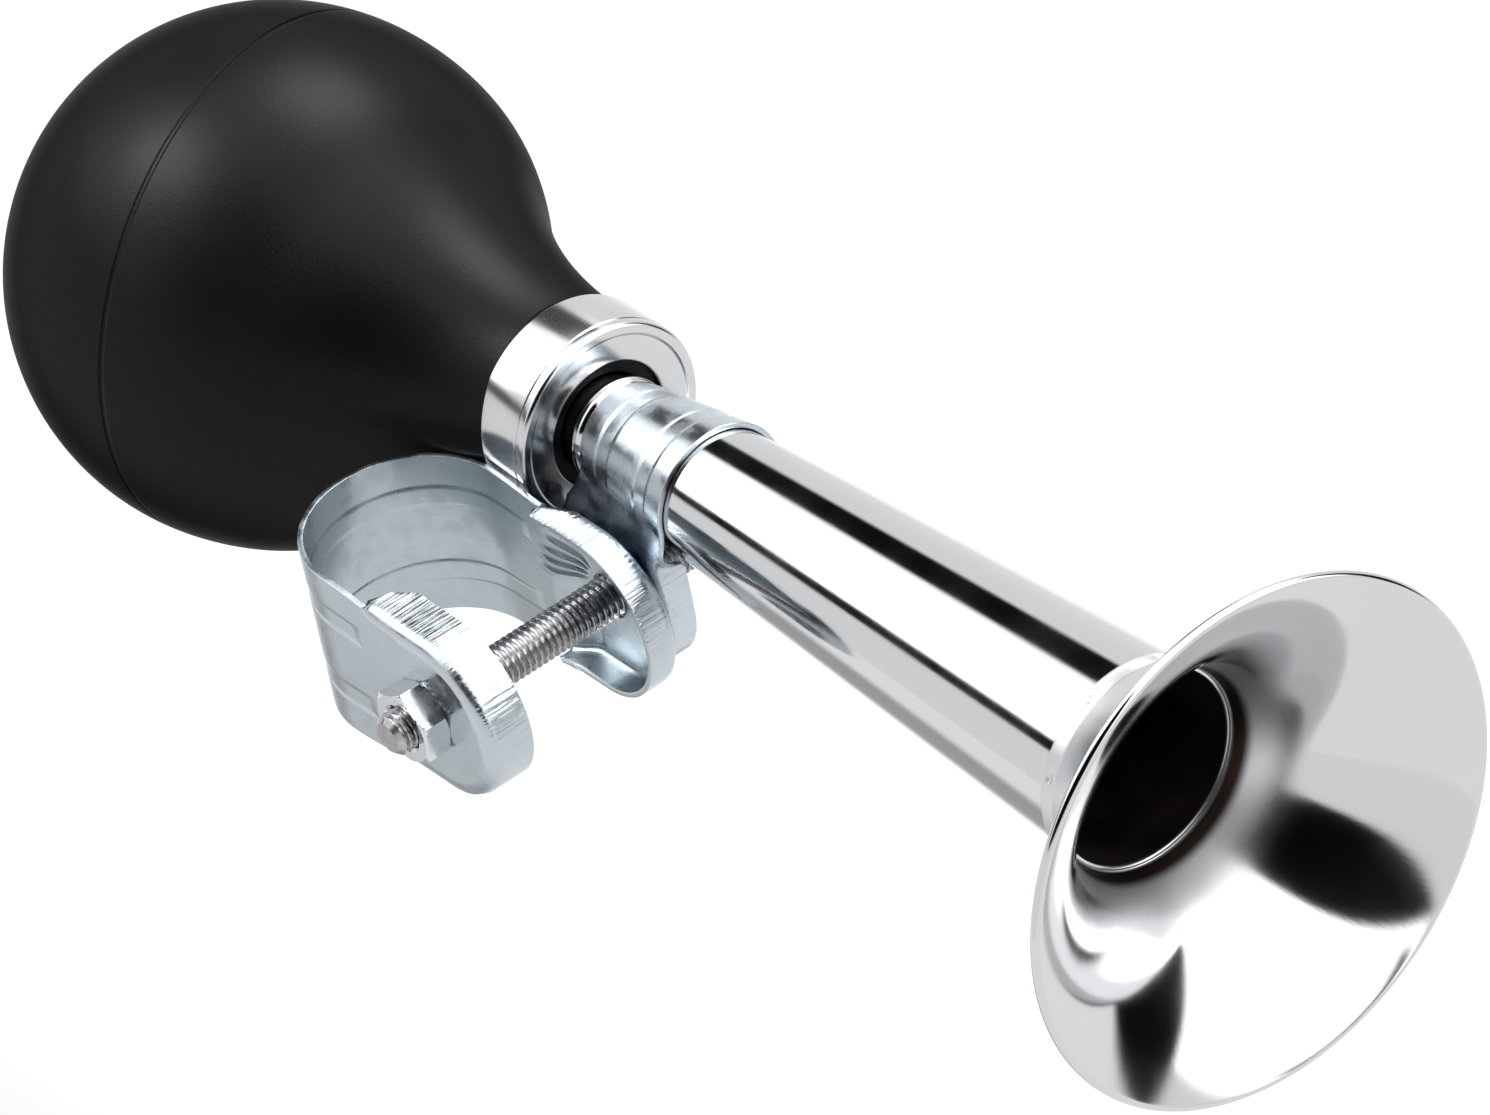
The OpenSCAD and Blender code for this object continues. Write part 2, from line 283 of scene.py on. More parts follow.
def strip_row(station, flats):
    """Points across a strip at a station: edge band, flat part with its pressed ribs, edge band."""
    mid, across, half, down, turn, depth, rib = station
    flat = half - BEND_R
    low = band(mid - across * flat, -across, down, turn, depth)
    high = band(mid + across * flat, across, down, turn, depth)
    middle = []
    for v in flats[1:-1]:
        s = v * flat
        centre = RIB_PLACE * half
        rise = rib * sum(smooth(0.5 + (RIB_HALF - abs(s - c)) / RIB_EDGE) for c in (-centre, centre))
        middle.append(mid + across * s + down * rise)
    return low[::-1] + middle + high


def ear_points(station, forward, hole_at, centre_at, flats):
    """Faces and points of a round-ended ear that goes on from a station, with its bolt hole and flange."""
    mid, across, half, down, turn, depth, rib = station
    flat = half - BEND_R
    boundary, outs = [], []
    for s in np.linspace(0, centre_at, 7)[:-1]:
        boundary.append(mid + forward * s + across * flat)
        outs.append(across)
    centre = mid + forward * centre_at
    for a in np.linspace(math.pi / 2, -math.pi / 2, 61):
        o = forward * math.cos(a) + across * math.sin(a)
        boundary.append(centre + o * flat)
        outs.append(o)
    for s in np.linspace(centre_at, 0, 7)[1:]:
        boundary.append(mid + forward * s - across * flat)
        outs.append(-across)
    edge = len(boundary)
    for v in flats[1:-1]:
        boundary.append(mid + across * v * flat)
    hole = mid + forward * hole_at
    points = []
    rings = 10
    for b in boundary:
        ray = (b - hole) / np.linalg.norm(b - hole)
        inner = hole + ray * HOLE_R
        for k in range(rings + 1):
            points.append(inner + (b - inner) * k / rings)
    faces = grid_faces(len(boundary), rings + 1, wrap_rows=True)
    start = len(points)
    cols = 0
    for k in range(edge):
        row = band(boundary[k], outs[k], down, 1, depth)
        cols = len(row)
        points += row
    faces += grid_faces(edge, cols, start)
    return points, faces


def sheet_piece(name, stations, ears, flat_count):
    """A strip of sheet with an ear at each end, given thickness and softly broken edges."""
    flats = np.linspace(-1, 1, flat_count)
    rows = [strip_row(s, flats) for s in stations]
    points = [p for row in rows for p in row]
    faces = grid_faces(len(rows), len(rows[0]))
    for station, forward, hole_at, centre_at in ears:
        more, quads = ear_points(station, forward, hole_at, centre_at, flats)
        start = len(points)
        points += more
        faces += [tuple(start + i for i in q) for q in quads]
    obj = new_object(name, points, faces, sharp=50)
    thick = obj.modifiers.new("Sheet", "SOLIDIFY")
    thick.thickness = SHEET * MM
    thick.offset = 0
    thick.use_even_offset = True
    edge = obj.modifiers.new("Edges", "BEVEL")
    edge.width = 0.1 * MM
    edge.segments = 2
    edge.limit_method = "ANGLE"
    edge.angle_limit = math.radians(55)
    return obj


def crease(x, z):
    """Height of the small folds that fan out from the far ear's bolt hole towards the loop."""
    radius = math.hypot(x - BOLT_X, z)
    angle = math.degrees(math.atan2(z, BOLT_X - x))
    if not 0 < angle < CREASE_SPAN:
        return 0.0
    fan = smooth(angle / CREASE_FADE) * smooth((CREASE_SPAN - angle) / CREASE_FADE)
    run = smooth((radius - CREASE_FROM) / CREASE_GROW) * smooth((CREASE_TO - radius) / CREASE_SHRINK)
    return float(CREASE * fan * run * math.cos(2 * math.pi * angle / CREASE_TURN))


def make_bar_clamp():
    """The strap round the handlebar: a half loop, two tails and two flanged ears."""
    mid_r = BAR_R + SHEET / 2
    near_y = NEAR_EAR_Y + SHEET / 2
    far_y = FAR_EAR_Y - SHEET / 2
    up = np.array([0.0, 0.0, 1.0])
    half = STRIP_W / 2

    def station(x, y, down, s, flange=NEAR_FLANGE):
        start, deep = flange
        turn = float(smooth((s - start + FOLD_LEAD) / FOLD_RUN))
        grown = 0.5 * min(max((s - start) / FLANGE_STEP, 0.0), 1.0)
        grown += 0.5 * min(max((s - start - FLANGE_STEP) / FLANGE_RUN, 0.0), 1.0)
        depth = BEND_R + (deep - SHEET / 2 - BEND_R) * grown
        rib = RIB_RISE * float(smooth((RIB_END - s) / RIB_FADE))
        narrow = half + (BAR_EAR_HALF - half) * float(smooth(s / EAR_START))
        return (np.array([x, y, 0.0]), up, narrow, down, turn, max(depth, 0.01), rib)

    stations = []
    for x in np.linspace(EAR_START, 0, 64)[:-1]:
        stations.append(station(x, near_y, np.array([0.0, 1.0, 0.0]), x))
    for a in np.linspace(-90, -270, 73):
        c, s = math.cos(math.radians(a)), math.sin(math.radians(a))
        stations.append(station(mid_r * c, mid_r * s, np.array([-c, -s, 0.0]), 0))
    for x in np.linspace(0, EAR_START, 64)[1:]:
        joggle = float(smooth((x - JOGGLE_X + JOGGLE_LEAD) / (EAR_START - JOGGLE_X)))
        y = mid_r + (far_y - mid_r) * joggle
        stations.append(station(x, y, np.array([0.0, -1.0, 0.0]), x, FAR_FLANGE))
    forward = np.array([1.0, 0.0, 0.0])
    hole_at = BOLT_X - EAR_START
    centre_at = hole_at + EAR_REACH
    ears = [(stations[0], forward, hole_at, centre_at), (stations[-1], forward, hole_at, centre_at)]
    obj = sheet_piece("bar_strap", stations, ears, 121)
    for v in obj.data.vertices:
        if v.co.y > mid_r * MM * 0.8 and v.co.x > 0:
            v.co.y += crease(v.co.x / MM, v.co.z / MM) * MM
    loop = [p for p in obj.data.polygons if p.center.x < 0]
    if sum(p.normal.x * p.center.x + p.normal.y * p.center.y for p in loop) < 0:
        obj.data.flip_normals()
    # The sheet's second shell, on the inside of the loop, takes the darker zinc of painted shade
    obj.modifiers["Sheet"].material_offset = 1
    return obj


def make_stem_clamp():
    """The strap round the barrel, which follows its taper, with two flanged ears below."""
    ear_top = STEM_EAR_NECK - HORN_Z
    inner0 = SMALL_R + RUN_GAP + SHEET / 2
    inner1 = CLAMP_R + RUN_GAP + SHEET / 2

    def section(side, tail, a):
        """The strip's two edges, at x0 and x1, for a round part at an angle or a tail at a height."""
        ends = []
        for x, r in ((STEM_X0, inner0), (STEM_X1, inner1)):
            if a is not None:
                ends.append(np.array(horn_point(x, -side * r * math.cos(a), r * math.sin(a))))
            else:
                t = float(smooth(-tail / -ear_top))
                limit = abs(NEAR_TAIL_Y) if side > 0 else HEAD_TAIL_Y
                y = r + (limit - SHEET / 2 - r) * t
                wide = BOLT_STATION + (STEM_EAR_R if x > BOLT_STATION else -STEM_EAR_R)
                ends.append(np.array(horn_point(x + (wide - x) * t, -side * y, tail)))
        return ends

    def station(side, tail=None, a=None):
        p0, p1 = section(side, tail, a)
        across = (p1 - p0) / np.linalg.norm(p1 - p0)
        if a is not None:
            down = np.array([0.0, side * math.cos(a), -math.sin(a)])
            turn, depth, rib = 0.0, BEND_R, RIB_RISE * float(smooth((a + 0.1) / 0.3))
        else:
            down = np.array([0.0, side, 0.0])
            turn = float(smooth((-tail - STEM_FOLD_FROM) / STEM_FOLD_RUN))
            grown = float(smooth((-tail - STEM_FLANGE_FROM) / STEM_FLANGE_RUN))
            depth = BEND_R + (STEM_FLANGE - SHEET / 2 - BEND_R) * grown
            rib = 0.0
        return ((p0 + p1) / 2, across, np.linalg.norm(p1 - p0) / 2, down, turn, max(depth, 0.01), rib)

    heights = np.linspace(ear_top, 0, 30)
    stations = [station(1, tail=z) for z in heights[:-1]]
    stations += [station(1, a=a) for a in np.linspace(0, math.pi / 2, 40)]
    stations += [station(-1, a=a) for a in np.linspace(math.pi / 2, 0, 40)[1:]]
    stations += [station(-1, tail=z) for z in heights[::-1][1:]]
    forward = np.array([0.0, 0.0, -1.0])
    hole_at = HORN_Z + ear_top
    ears = [(stations[0], forward, hole_at, hole_at), (stations[-1], forward, hole_at, hole_at)]
    return sheet_piece("stem_strap", stations, ears, 97)


# Bolt and nut

def bolt_point(x, y, z):
    """x runs along the bolt from its seat towards the nut."""
    return (BOLT_X + z, SEAT_Y - x, -y)


def make_bolt():
    """A threaded shank with a chamfered end, and a cheese head with a slot."""
    rows = int(BOLT_LEN / PITCH * THREAD_ROWS)
    points = []
    for i in range(rows + 1):
        x = BOLT_LEN * i / rows
        limit = BOLT_R - BOLT_CHAMFER + (BOLT_LEN - x)
        for k in range(THREAD_STEPS):
            phase = (x / PITCH - k / THREAD_STEPS) % 1.0
            wave = min(1.0, max(0.0, CREST - FLANK * abs(phase - 0.5)))
            r = min(BOLT_ROOT_R + (BOLT_R - BOLT_ROOT_R) * wave, limit)
            a = 2 * math.pi * k / THREAD_STEPS
            points.append(bolt_point(x, r * math.cos(a), r * math.sin(a)))
    faces = grid_faces(rows + 1, THREAD_STEPS, wrap_cols=True)
    faces.append(tuple(rows * THREAD_STEPS + k for k in range(THREAD_STEPS)))
    obj = new_object("bolt_shank", points, faces, sharp=40)
    head = turned("bolt_head", rounded([
        (0.0, 0, 0), (0.0, BOLT_HEAD_D / 2, 0.2),
        (-BOLT_HEAD_H, BOLT_HEAD_D * BOLT_HEAD_TOP, 0.5), (-BOLT_HEAD_H, 0, 0)
    ]), 96, bolt_point)
    slot = box_cutter("slot_cutter", (BOLT_X, SEAT_Y + BOLT_HEAD_H, 0),
                      (SLOT_W / 2, SLOT_DEPTH, BOLT_HEAD_D))
    cut(head, slot)
    return obj, head


def box_cutter(name, centre, half):
    """A plain box that only cuts others."""
    bpy.ops.mesh.primitive_cube_add(size=2, location=[c * MM for c in centre])
    obj = bpy.context.object
    obj.name = name
    obj.scale = [h * MM for h in half]
    bpy.context.view_layer.update()
    return obj


def cut(obj, cutter):
    """Takes the cutter away from the object and deletes the cutter."""
    step = obj.modifiers.new("Cut", "BOOLEAN")
    step.object = cutter
    step.operation = "DIFFERENCE"
    step.solver = "EXACT"
    bpy.context.view_layer.update()
    mesh = bpy.data.meshes.new_from_object(obj.evaluated_get(bpy.context.evaluated_depsgraph_get()))
    obj.modifiers.clear()
    obj.data = mesh
    mesh.set_sharp_from_angle(angle=math.radians(35))
    bpy.data.objects.remove(cutter)


def make_nut():
    """A hexagon nut with both ends chamfered round."""
    corner_r = NUT_AF / math.sqrt(3)
    ends = [0, 0.1, 0.2, NUT_BEVEL_H, 0.6]
    levels = ends + [NUT_T / 2] + [NUT_T - d for d in ends[::-1]]
    y0 = NEAR_EAR_Y - SEAT_GAP
    bore = BOLT_R + NUT_GAP
    points = []
    turn = math.radians(NUT_TURN)
    for k in range(NUT_STEPS):
        a = 2 * math.pi * k / NUT_STEPS
        flat = NUT_AF / 2 / math.cos((a - turn) % (math.pi / 3) - math.pi / 6)
        column = [(bore, 0)]
        for d in levels:
            inset = max(0, 1 - min(d, NUT_T - d) / NUT_BEVEL_H) * NUT_BEVEL
            column.append((min(flat, corner_r - inset), d))
        column += [(bore + NUT_BEVEL_H, NUT_T), (bore, NUT_T - NUT_BEVEL_H)]
        points += [(BOLT_X + r * math.sin(a), y0 - d, r * math.cos(a)) for r, d in column]
    faces = grid_faces(NUT_STEPS, len(levels) + 3, wrap_rows=True, wrap_cols=True)
    return new_object("hex_nut", points, faces, sharp=28)


# Bulb, collar, barrel and bell

def lean_point(u, y, z):
    """u runs from the bend of the neck along the bulb's own axis to the ball."""
    x = BEND_X - u * math.cos(LEAN) + y * math.sin(LEAN)
    return horn_point(x, -u * math.sin(LEAN) - y * math.cos(LEAN), z)


def bulb_outline():
    """(u, r) outline of the ball and the neck that flows into it."""
    reach = BALL_R + NECK_FILLET
    fillet_u = BALL_REACH - math.sqrt(reach ** 2 - (NECK_R + NECK_FILLET) ** 2)
    join = math.atan2(NECK_R + NECK_FILLET, BALL_REACH - fillet_u)
    first = math.asin(max(0.0, -fillet_u) / NECK_FILLET)
    out = [(-1.0, 0.0), (-1.0, NECK_R - 0.6), (-0.4, NECK_R)]
    for k in range(NECK_ROWS):
        turn = first + (math.pi / 2 - join - first) * k / (NECK_ROWS - 1)
        out.append((fillet_u + NECK_FILLET * math.sin(turn), NECK_R + NECK_FILLET * (1 - math.cos(turn))))
    for k in range(1, BALL_ROWS + 1):
        a = (math.pi - join) * (1 - k / BALL_ROWS)
        out.append((BALL_REACH + BALL_R * math.cos(a), BALL_R * math.sin(a)))
    return [(u, r + SWELL * math.exp(-((u - SWELL_U) / SWELL_WIDE) ** 2) if r else r) for u, r in out]


def make_bulb():
    """The rubber bulb: ball and neck in one skin, and the neck's front round the barrel."""
    outline = bulb_outline()
    points = turned_points(outline, BULB_STEPS, lean_point)
    faces = grid_faces(BULB_STEPS, len(outline), wrap_rows=True)
    front = rounded([
        (-COLLAR_LEN - 0.6, NECK_BORE_R, 0), (-COLLAR_LEN - 0.6, COLLAR_R - 0.25, 0.25),
        (-COLLAR_LEN + 0.05, COLLAR_R - 0.25, 0.1), (-COLLAR_LEN + 0.05, COLLAR_R - COLLAR_T - 0.1, 0),
        (NECK_FRONT_X, COLLAR_R - COLLAR_T - 0.1, 1.3), (NECK_FRONT_X, NECK_BORE_R, 0.5)
    ])
    start = len(points)
    points += turned_points(front, BULB_STEPS, horn_point)
    faces += grid_faces(BULB_STEPS, len(front), start, wrap_rows=True, wrap_cols=True)
    return new_object("rubber_bulb", points, faces, sharp=50)


def make_collar():
    """The chromed collar: a short cup with a rounded lip and a wide hole in its face."""
    inner = COLLAR_R - COLLAR_T
    return turned("chrome_collar", rounded([
        (-COLLAR_LEN, COLLAR_R, 0.3), (-1.45, COLLAR_R, 0.1), (-1.3, COLLAR_R - 0.14, 0.1),
        (-1.15, COLLAR_R - 0.02, 0.1), (0.0, COLLAR_R - 0.05, 0.55), (0.0, COLLAR_R - 1.25, 0.3),
        (-0.22, COLLAR_R - 1.5, 0.2), (-0.22, COLLAR_HOLE_R, 0.25), (-COLLAR_T - 0.1, COLLAR_HOLE_R, 0.15),
        (-COLLAR_T, inner, 0.6), (-COLLAR_LEN, inner, 0.1)
    ], 7), 224, sharp=50)


def barrel_radius(x):
    """Outer radius of the barrel: straight in the collar, then one taper in the clamp and one in front."""
    if x < STEM_X1:
        return SMALL_R + (CLAMP_R - SMALL_R) * max(x - STEM_X0, 0) / (STEM_X1 - STEM_X0)
    return CLAMP_R + (MOUTH_R - CLAMP_R) * (x - STEM_X1) / (BARREL_LEN - STEM_X1)


def make_barrel():
    """The conical tube, with a rolled bead where it enters the collar."""
    bead = []
    for k in range(15):
        a = math.pi - math.pi * k / 14
        bead.append((BEAD_X + BEAD_W / 2 * math.cos(a), SMALL_R + 0.02 + (BEAD_R - SMALL_R) * math.sin(a)))
    outer = [(BARREL_BACK_X, SMALL_R), (BEAD_X - BEAD_W / 2 - 0.3, SMALL_R)] + bead
    outer += [(x, barrel_radius(x)) for x in np.linspace(BEAD_X + BEAD_W / 2 + 0.2, BARREL_LEN, 60)]
    mouth = [(BARREL_LEN - THROAT_EDGE, MOUTH_R - 0.01), (BARREL_LEN, MOUTH_R - THROAT_EDGE),
             (BARREL_LEN, MOUTH_R - TUBE + THROAT_EDGE), (BARREL_LEN - THROAT_EDGE, MOUTH_R - TUBE)]
    inner = [(x, r - TUBE) for x, r in ((STEM_X1, CLAMP_R), (STEM_X0, SMALL_R), outer[0])]
    return turned("chrome_barrel", outer[:-1] + mouth + inner, 256)


def flare_outline():
    """The flare's air side and its back, from the sleeve to the rolled rim, and its last angle."""
    half = math.radians(FLARE_TURN / 2)
    end = math.atan2(RIM_R - FLARE_R, RIM_X - FLARE_X) + half
    for _ in range(6):
        rise = RIM_R - RIM_BEAD_R * math.cos(end) - FLARE_R
        run = RIM_X + RIM_BEAD_R * math.sin(end) - FLARE_X
        end = math.atan2(rise, run) + half
    radius = math.hypot(rise, run) / (2 * math.sin(half))
    start = end - 2 * half
    centre_r = FLARE_R + radius * math.cos(start)
    centre_x = FLARE_X - radius * math.sin(start)
    air, back = [], []
    for k in range(97):
        a = start + math.radians(FLARE_TURN) * k / 96
        air.append((centre_x + radius * math.sin(a), centre_r - radius * math.cos(a)))
        back.append((centre_x + (radius - BELL_T) * math.sin(a), centre_r - (radius - BELL_T) * math.cos(a)))
    return air, back, end


def make_bell():
    """The bell: a sleeve staked on to the barrel, the flare and its rolled rim."""
    air, back, end = flare_outline()
    sleeve_x = BARREL_LEN - SLEEVE_LEN
    sleeve_r = MOUTH_R + SLEEVE_T
    rim = []
    for k in range(1, 49):
        a = end + math.radians(RIM_TURN) * k / 48
        rim.append((RIM_X + RIM_BEAD_R * math.sin(a), RIM_R - RIM_BEAD_R * math.cos(a)))
    outline = [(sleeve_x, barrel_radius(sleeve_x) + 0.02), (BARREL_LEN - 0.2, MOUTH_R + 0.02)]
    outline += [(BARREL_LEN - 0.05, MOUTH_R + 0.04), (BARREL_LEN + 0.05, MOUTH_R - 0.02)]
    outline += [(FLARE_X - 0.3, MOUTH_R - 0.02)] + air + rim + back[1:-4][::-1]
    outline += [(x, sleeve_r) for x in np.linspace(FLARE_X - 0.5, sleeve_x + 0.12, 16)]
    outline += [(sleeve_x + 0.03, sleeve_r - 0.05), (sleeve_x, sleeve_r - 0.14)]
    stakes = [math.radians(STAKE_TURN + 360 / STAKES * k) for k in range(STAKES)]

    def stake(x, r, a):
        """Small punched dimples that hold the sleeve."""
        if r < sleeve_r - 0.02 or x > FLARE_X - 0.2:
            return 0
        off = min(abs((a - s + math.pi) % (2 * math.pi) - math.pi) for s in stakes) * sleeve_r
        wave = SLEEVE_WAVE * math.sin(SLEEVE_WAVES * a) * math.sin(math.pi * (x - sleeve_x) / SLEEVE_LEN)
        return wave - STAKE_DEPTH * math.exp(-((x - sleeve_x - STAKE_X) ** 2 / 0.16 + off ** 2 / 0.55))

    return turned("chrome_bell", outline, 384, bump=stake, sharp=40)


# Materials

def principled(name, color, metallic, roughness):
    """A material with one principled shader; numbers that are the same all over sit on its sockets."""
    mat = bpy.data.materials.new(name)
    mat.use_nodes = True
    shader = mat.node_tree.nodes["Principled BSDF"]
    shader.inputs["Base Color"].default_value = (*color, 1)
    shader.inputs["Metallic"].default_value = metallic
    shader.inputs["Roughness"].default_value = roughness
    return mat, mat.node_tree, shader


def object_place(tree):
    """Places in the part's own frame, in metres."""
    return tree.nodes.new("ShaderNodeTexCoord").outputs["Object"]


def math_node(tree, operation, a, b=None):
    """A math node on sockets or numbers."""
    node = tree.nodes.new("ShaderNodeMath")
    node.operation = operation
    for socket, value in zip(node.inputs, (a, b)):
        if value is None:
            continue
        if isinstance(value, (int, float)):
            socket.default_value = value
        else:
            tree.links.new(value, socket)
    return node.outputs[0]


def vector_node(tree, operation, a, b=None):
    """A vector math node on a socket, and on a second socket or fixed numbers."""
    node = tree.nodes.new("ShaderNodeVectorMath")
    node.operation = operation
    tree.links.new(a, node.inputs[0])
    if isinstance(b, bpy.types.NodeSocket):
        tree.links.new(b, node.inputs[1])
    elif b is not None:
        node.inputs[1].default_value = b
    return node.outputs["Value" if operation in ("LENGTH", "DOT_PRODUCT") else "Vector"]


def dot(tree, vector, normal):
    """The share of a direction along a fixed one."""
    return vector_node(tree, "DOT_PRODUCT", vector, normal)


def mix_color(tree, share, first, second):
    """A mix of two colours, each a socket or three numbers."""
    mix = tree.nodes.new("ShaderNodeMix")
    mix.data_type = "RGBA"
    tree.links.new(share, mix.inputs[0])
    for socket, color in ((mix.inputs[6], first), (mix.inputs[7], second)):
        if isinstance(color, tuple):
            socket.default_value = (*color, 1)
        else:
            tree.links.new(color, socket)
    return mix.outputs[2]


def add_noise(tree, scale, detail=4.0, coords=None):
    """A noise texture in the part's own metres."""
    if coords is None:
        coords = object_place(tree)
    noise = tree.nodes.new("ShaderNodeTexNoise")
    noise.inputs["Scale"].default_value = scale
    noise.inputs["Detail"].default_value = detail
    tree.links.new(coords, noise.inputs["Vector"])
    return noise.outputs["Fac"]


def add_bump(tree, shader, height, distance, strength=1.0, under=None):
    """A bump, over another where one is given."""
    bump = tree.nodes.new("ShaderNodeBump")
    bump.inputs["Distance"].default_value = distance
    bump.inputs["Strength"].default_value = strength
    tree.links.new(height, bump.inputs["Height"])
    if under:
        tree.links.new(under, bump.inputs["Normal"])
    tree.links.new(bump.outputs["Normal"], shader.inputs["Normal"])
    return bump.outputs["Normal"]


def map_range(tree, value, low, high, to_low, to_high):
    """Maps one range of a value to another, smoothly."""
    node = tree.nodes.new("ShaderNodeMapRange")
    node.interpolation_type = "SMOOTHSTEP"
    for key, number in (("From Min", low), ("From Max", high), ("To Min", to_low), ("To Max", to_high)):
        node.inputs[key].default_value = number
    tree.links.new(value, node.inputs["Value"])
    return node.outputs["Result"]


def ramp(tree, value, stops):
    """A colour ramp with (place, colour) stops."""
    node = tree.nodes.new("ShaderNodeValToRGB")
    points = node.color_ramp.elements
    while len(points) < len(stops):
        points.new(0.5)
    for point, (place, color) in zip(points, stops):
        point.position = place
        point.color = (*color, 1)
    tree.links.new(value, node.inputs["Fac"])
    return node.outputs["Color"]


def rubber_material():
    """Black rubber with a fine grain, a cloudy tone and its moulding seam."""
    mat, tree, shader = principled("rubber", (0.003, 0.003, 0.0032), 0, 0.38)
    coords = object_place(tree)
    place = vector_node(tree, "SUBTRACT", coords, [c * MM for c in lean_point(BALL_REACH, 0, 0)])
    away = math_node(tree, "ABSOLUTE", dot(tree, place, SEAM_NORMAL))
    seam = map_range(tree, away, 0.00012, 0.00042, 0, 1)
    grain = add_noise(tree, 2600, 3, coords)
    cloud = add_noise(tree, 45, 3, coords)
    tone = ramp(tree, cloud, [(0.3, (0.0022, 0.0022, 0.0024)), (0.7, (0.0038, 0.0038, 0.004))])
    tree.links.new(mix_color(tree, seam, SEAM_SHADE, tone), shader.inputs["Base Color"])
    tree.links.new(map_range(tree, cloud, 0.3, 0.7, 0.35, 0.43), shader.inputs["Roughness"])
    slant = tree.nodes.new("ShaderNodeLayerWeight").outputs["Facing"]
    tree.links.new(map_range(tree, slant, 0.15, 0.7, 0.12, 0.006), shader.inputs["Specular IOR Level"])
    first = add_bump(tree, shader, grain, 0.00003, 0.7)
    add_bump(tree, shader, seam, 0.0003, 0.9, first)
    return mat


def from_axis(tree):
    """Place from the collar's face, and its part square to the horn's axis."""
    place = vector_node(tree, "SUBTRACT", object_place(tree), [c * MM for c in (HORN_X, HORN_Y, HORN_Z)])
    return place, vector_node(tree, "MULTIPLY", place, (0, 1, 1))


def away_from_axis(tree):
    """Distance from the horn's axis, in metres."""
    return vector_node(tree, "LENGTH", from_axis(tree)[1])


def around_axis(tree, along, around):
    """Places for streaks that run along the horn: slow along it, and fast round its axis."""
    place, flat = from_axis(tree)
    way = vector_node(tree, "NORMALIZE", flat)
    split = tree.nodes.new("ShaderNodeSeparateXYZ")
    tree.links.new(place, split.inputs[0])
    run = math_node(tree, "ADD", split.outputs["X"], vector_node(tree, "LENGTH", flat))
    shift = tree.nodes.new("ShaderNodeCombineXYZ")
    tree.links.new(math_node(tree, "MULTIPLY", run, along), shift.inputs["X"])
    turned_way = vector_node(tree, "MULTIPLY", way, (around,) * 3)
    return vector_node(tree, "ADD", turned_way, shift.outputs["Vector"])


def throat_color(tree, away):
    """Chrome with a dark ring in the throat, on the bell's air side and not on its sleeve or back."""
    where = tree.nodes.new("ShaderNodeTexCoord")
    # A dark brown ring is painted on the chrome between these radii
    low, high = (r * MM for r in THROAT_DARK_RING)
    flare_at = (HORN_X + FLARE_X) * MM
    back = map_range(tree, dot(tree, where.outputs["Normal"], (1, 0, 0)), 0.15, 0.2, 1, 0)
    along = dot(tree, where.outputs["Object"], (1, 0, 0))
    sleeve = map_range(tree, along, flare_at - 0.3 * MM, flare_at, 1, 0)
    share = math_node(tree, "MAXIMUM", map_range(tree, away, low, high, 0, 1), back)
    return mix_color(tree, math_node(tree, "MAXIMUM", share, sleeve), THROAT_RING, CHROME_PLATE)


def chrome_material(name, roughness=0.08, deep=0.0):
    """Chrome plate over spun and drawn sheet: fine streaks along it, a faint ripple and cloudy smudges.

    deep is how much duller it gets in the bell's throat, where no polishing wheel reaches."""
    mat, tree, shader = principled(name, CHROME_PLATE, 1, roughness)
    streaks = add_noise(tree, 1.0, 2, around_axis(tree, 650, 70))
    first = add_bump(tree, shader, streaks, 0.0000013)
    add_bump(tree, shader, add_noise(tree, 240, 3), 0.000004, 1.0, first)
    rough = map_range(tree, add_noise(tree, 130, 4), 0.3, 0.75, roughness, roughness + 0.04)
    if deep:
        away = away_from_axis(tree)
        low, high = (r * MM for r in THROAT_DULL)
        rough = math_node(tree, "ADD", rough, map_range(tree, away, low, high, deep, 0))
        tree.links.new(throat_color(tree, away), shader.inputs["Base Color"])
    tree.links.new(rough, shader.inputs["Roughness"])
    return mat


def bare_shaded_material():
    """Bare dull sheet inside the barrel, brownish in places; its near-black tone is a painted shade of the
    tube's dark inside.
    """
    mat, tree, shader = principled("bare_sheet_painted_shade", (0.01, 0.009, 0.008), 0, 0.6)
    shader.inputs["Specular IOR Level"].default_value = 0.15
    stain = add_noise(tree, 160, 4)
    tone = ramp(tree, stain, [(0.35, (0.0015, 0.0015, 0.0015)), (0.75, (0.008, 0.005, 0.004))])
    tree.links.new(tone, shader.inputs["Base Color"])
    tree.links.new(map_range(tree, stain, 0.3, 0.7, 0.45, 0.65), shader.inputs["Roughness"])
    add_bump(tree, shader, add_noise(tree, 2500, 3), 0.00001, 0.5)
    return mat


def with_painted_shade(tree, coords, tone):
    """The tone, with a painted shade that darkens it where the near tail of the stem strap faces the other
    strap.
    """
    share = None
    for way, (low, high) in (((0, 1, 0), PAINTED_SHADE_Y), ((0, 0, 1), PAINTED_SHADE_Z), ((1, 0, 0), PAINTED_SHADE_X)):
        side = map_range(tree, dot(tree, coords, way), low * MM, high * MM, 1, 0)
        share = side if share is None else math_node(tree, "MULTIPLY", share, side)
    return mix_color(tree, share, tone, STEM_PAINTED_SHADE)


def pucker_height(tree, coords, way, start):
    """Height of the small puckers on a flange that starts at a place along a way."""
    pucker = add_noise(tree, 1.0, 2, vector_node(tree, "MULTIPLY", coords, (2300, 130, 2300)))
    here = map_range(tree, dot(tree, coords, way), start * MM, (start + 2) * MM, 0, 1)
    facing = dot(tree, tree.nodes.new("ShaderNodeNewGeometry").outputs["Normal"], (0, 1, 0))
    side = map_range(tree, math_node(tree, "ABSOLUTE", facing), 0.3, 0.85, 1, 0)
    return math_node(tree, "MULTIPLY", pucker, math_node(tree, "MULTIPLY", here, side))


